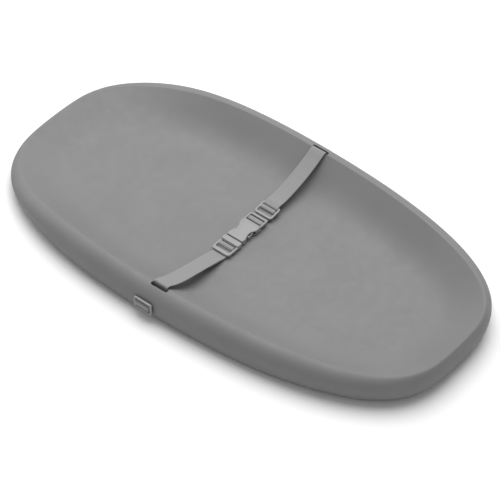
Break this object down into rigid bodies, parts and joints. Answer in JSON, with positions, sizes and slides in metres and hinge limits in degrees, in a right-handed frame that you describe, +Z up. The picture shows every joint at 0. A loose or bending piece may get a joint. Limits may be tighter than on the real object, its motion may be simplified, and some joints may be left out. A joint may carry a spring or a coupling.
{
  "type": "changing pad",
  "caption": "Contoured moulded-foam changing pad with a raised saddle rim and a buckled, adjustable webbing safety strap across the dish.",
  "frame": {"origin": "centre of the footprint, on the floor under the pad", "axes": "+X towards the foot end, +Y across the pad towards the tri-glide's side, +Z up"},
  "size_m": [0.7966, 0.4312, 0.0587],
  "materials": {
    "foam_skin": "matt integral-skin polyurethane foam, neutral grey, faint moulded texture",
    "webbing": "grey woven polypropylene webbing",
    "buckle_plastic": "grey satin acetal, fine spark texture"
  },
  "bodies": {
    "pad": {"pad_body": "foam_skin", "webbing_near": "webbing", "webbing_far": "webbing", "anchor_frame_near": "buckle_plastic", "anchor_frame_far": "buckle_plastic"},
    "buckle_housing": {"buckle_female": "buckle_plastic"},
    "buckle_latch": {"buckle_male": "buckle_plastic"},
    "prong_head_side": {"buckle_prong_head_side": "buckle_plastic"},
    "prong_foot_side": {"buckle_prong_foot_side": "buckle_plastic"},
    "adjuster": {"tri_glide": "buckle_plastic"}
  },
  "joints": [
    {"name": "strap_lift", "type": "slide", "parent": "pad", "child": "buckle_housing", "axis": [0, 0, 1], "range_m": [0, 0.06], "deforming": ["webbing_near", "webbing_far"]},
    {"name": "buckle_release", "type": "slide", "parent": "buckle_housing", "child": "buckle_latch", "axis": [0, -1, 0], "range_m": [0, 0.036], "deforming": ["webbing_near", "buckle_prong_head_side", "buckle_prong_foot_side"]},
    {"name": "prong_squeeze_head", "type": "hinge", "parent": "buckle_latch", "child": "prong_head_side", "pos_m": [-0.0174, -0.0174, 0.0184], "axis": [0, 0, -1], "range_deg": [0, 8], "stiffness_Nm_per_rad": 1.2},
    {"name": "prong_squeeze_foot", "type": "hinge", "parent": "buckle_latch", "child": "prong_foot_side", "pos_m": [0.0014, -0.0174, 0.0184], "axis": [0, 0, 1], "range_deg": [0, 8], "stiffness_Nm_per_rad": 1.2},
    {"name": "adjuster_slide", "type": "slide", "parent": "buckle_housing", "child": "adjuster", "axis": [0, 0.9903, 0.1392], "range_m": [0, 0.02], "deforming": ["webbing_far"]}
  ]
}
